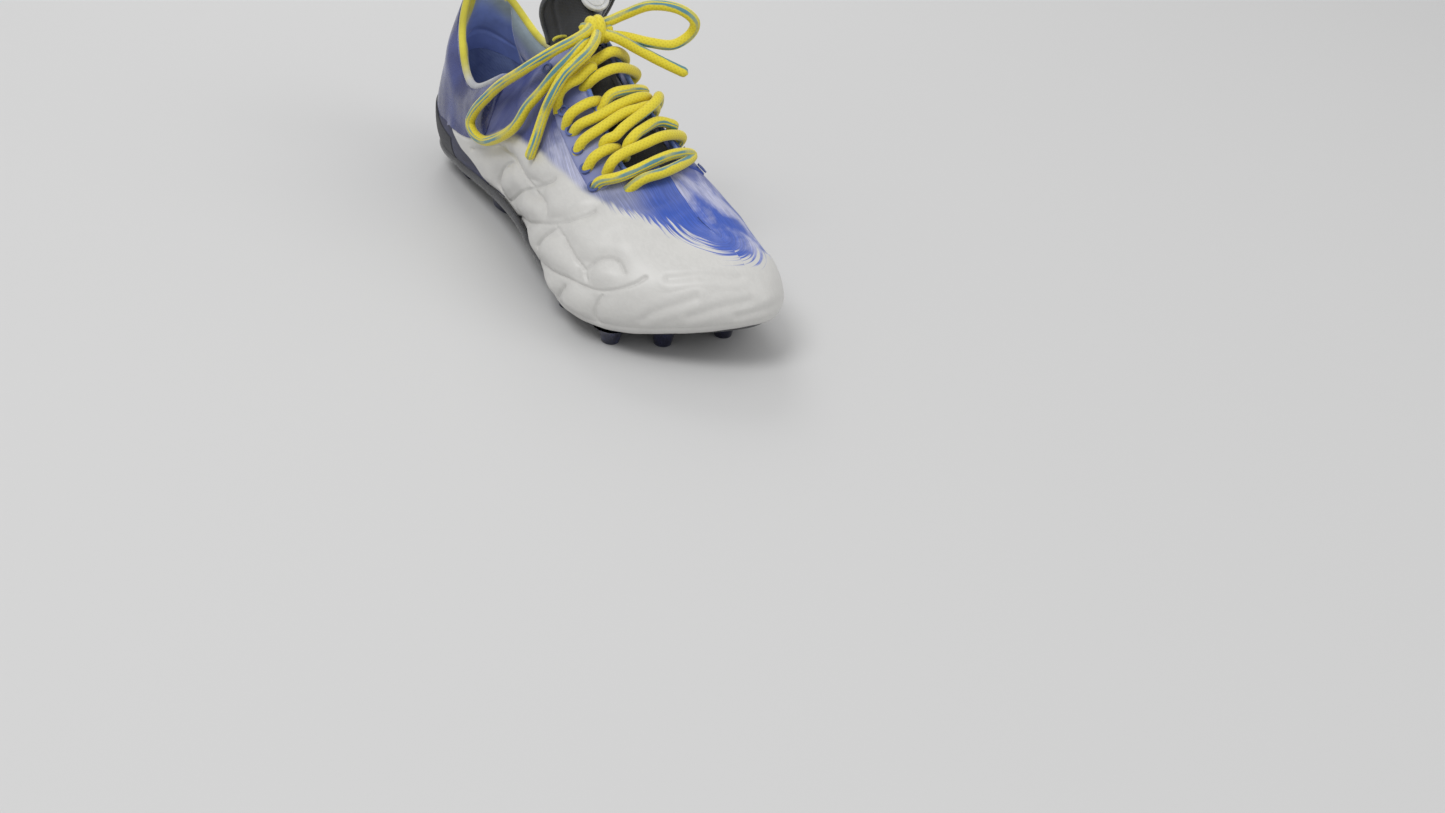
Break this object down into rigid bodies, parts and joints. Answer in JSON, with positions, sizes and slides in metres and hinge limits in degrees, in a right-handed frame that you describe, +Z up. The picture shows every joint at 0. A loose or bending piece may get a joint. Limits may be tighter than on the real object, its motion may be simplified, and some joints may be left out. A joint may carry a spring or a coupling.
{
  "type": "soccer cleat",
  "caption": "Low-cut right-foot soccer cleat with a studded plastic sole, quilted leather upper, padded tongue and a round lace tied in a bow.",
  "frame": {"origin": "middle of the shoe's bounding box in X and Y, leaving out the lace bow, at the level of the stud tips", "axes": "+X towards the toe, +Y towards the inner side of the foot, +Z up"},
  "size_m": [0.2893, 0.1061, 0.1427],
  "materials": {
    "sole_plastic": "gloss",
    "shank_plastic": "gloss",
    "stud_plastic": "gloss",
    "board": "matte",
    "sock_fabric": "matte",
    "navy_leather": "satin",
    "white_leather": "satin",
    "periwinkle_leather": "satin",
    "blue_leather": "satin",
    "rand_plastic": "satin",
    "lining_fabric": "matte",
    "yellow_fabric": "matte",
    "eyelet_plastic": "satin",
    "black_fabric": "matte",
    "badge_plastic": "satin",
    "blue_fabric": "matte",
    "lace_fabric": "matte"
  },
  "bodies": {
    "rear": {"outsole_heel_plate": "sole_plastic", "arch_shank": "shank_plastic", "heel_studs_rear": "stud_plastic", "heel_studs_front": "stud_plastic", "ball_studs": "stud_plastic", "insole_board_heel": "board", "sockliner_heel": "sock_fabric", "heel_cup": "sole_plastic", "heel_counter": "board", "heel_quarter": "navy_leather", "lateral_quarter": "white_leather", "lateral_saddle": "periwinkle_leather", "medial_quarter": "periwinkle_leather", "medial_rand": "rand_plastic", "lateral_rand": "sole_plastic", "vamp": "blue_leather", "quarter_lining": "lining_fabric", "collar_pad_lateral": "lining_fabric", "collar_pad_medial": "lining_fabric", "heel_tab_lining": "yellow_fabric", "collar_binding": "yellow_fabric", "eyestay_lateral": "periwinkle_leather", "eyestay_medial": "blue_leather", "eyelets": "eyelet_plastic", "tongue": "black_fabric", "tongue_bend": "black_fabric", "lace_ladder": "lace_fabric", "lace_knot": "lace_fabric", "lace_loop_lateral": "lace_fabric", "lace_loop_medial": "lace_fabric", "lace_end_lateral": "lace_fabric", "lace_end_medial": "lace_fabric"},
    "forefoot": {"outsole_forefoot_plate": "sole_plastic", "toe_studs": "stud_plastic", "insole_board_forefoot": "board", "sockliner_forefoot": "sock_fabric", "toe_cap": "white_leather", "vamp_front": "blue_leather", "toe_puff": "board", "forefoot_lining": "lining_fabric"},
    "tongue_free": {"tongue_top": "black_fabric", "tongue_badge": "badge_plastic", "tongue_piping": "blue_fabric", "tongue_loop": "yellow_fabric"}
  },
  "joints": [
    {"name": "forefoot_flex", "type": "hinge", "parent": "rear", "child": "forefoot", "pos_m": [0.0723, 0, 0.019], "axis": [0, -1, 0], "range_deg": [0, 25], "stiffness_Nm_per_rad": 2, "deforming": ["vamp"]},
    {"name": "tongue_fold", "type": "hinge", "parent": "rear", "child": "tongue_free", "pos_m": [-0.0137, 0, 0.1048], "axis": [0, 1, 0], "range_deg": [-15, 5], "deforming": ["tongue_bend"]}
  ]
}
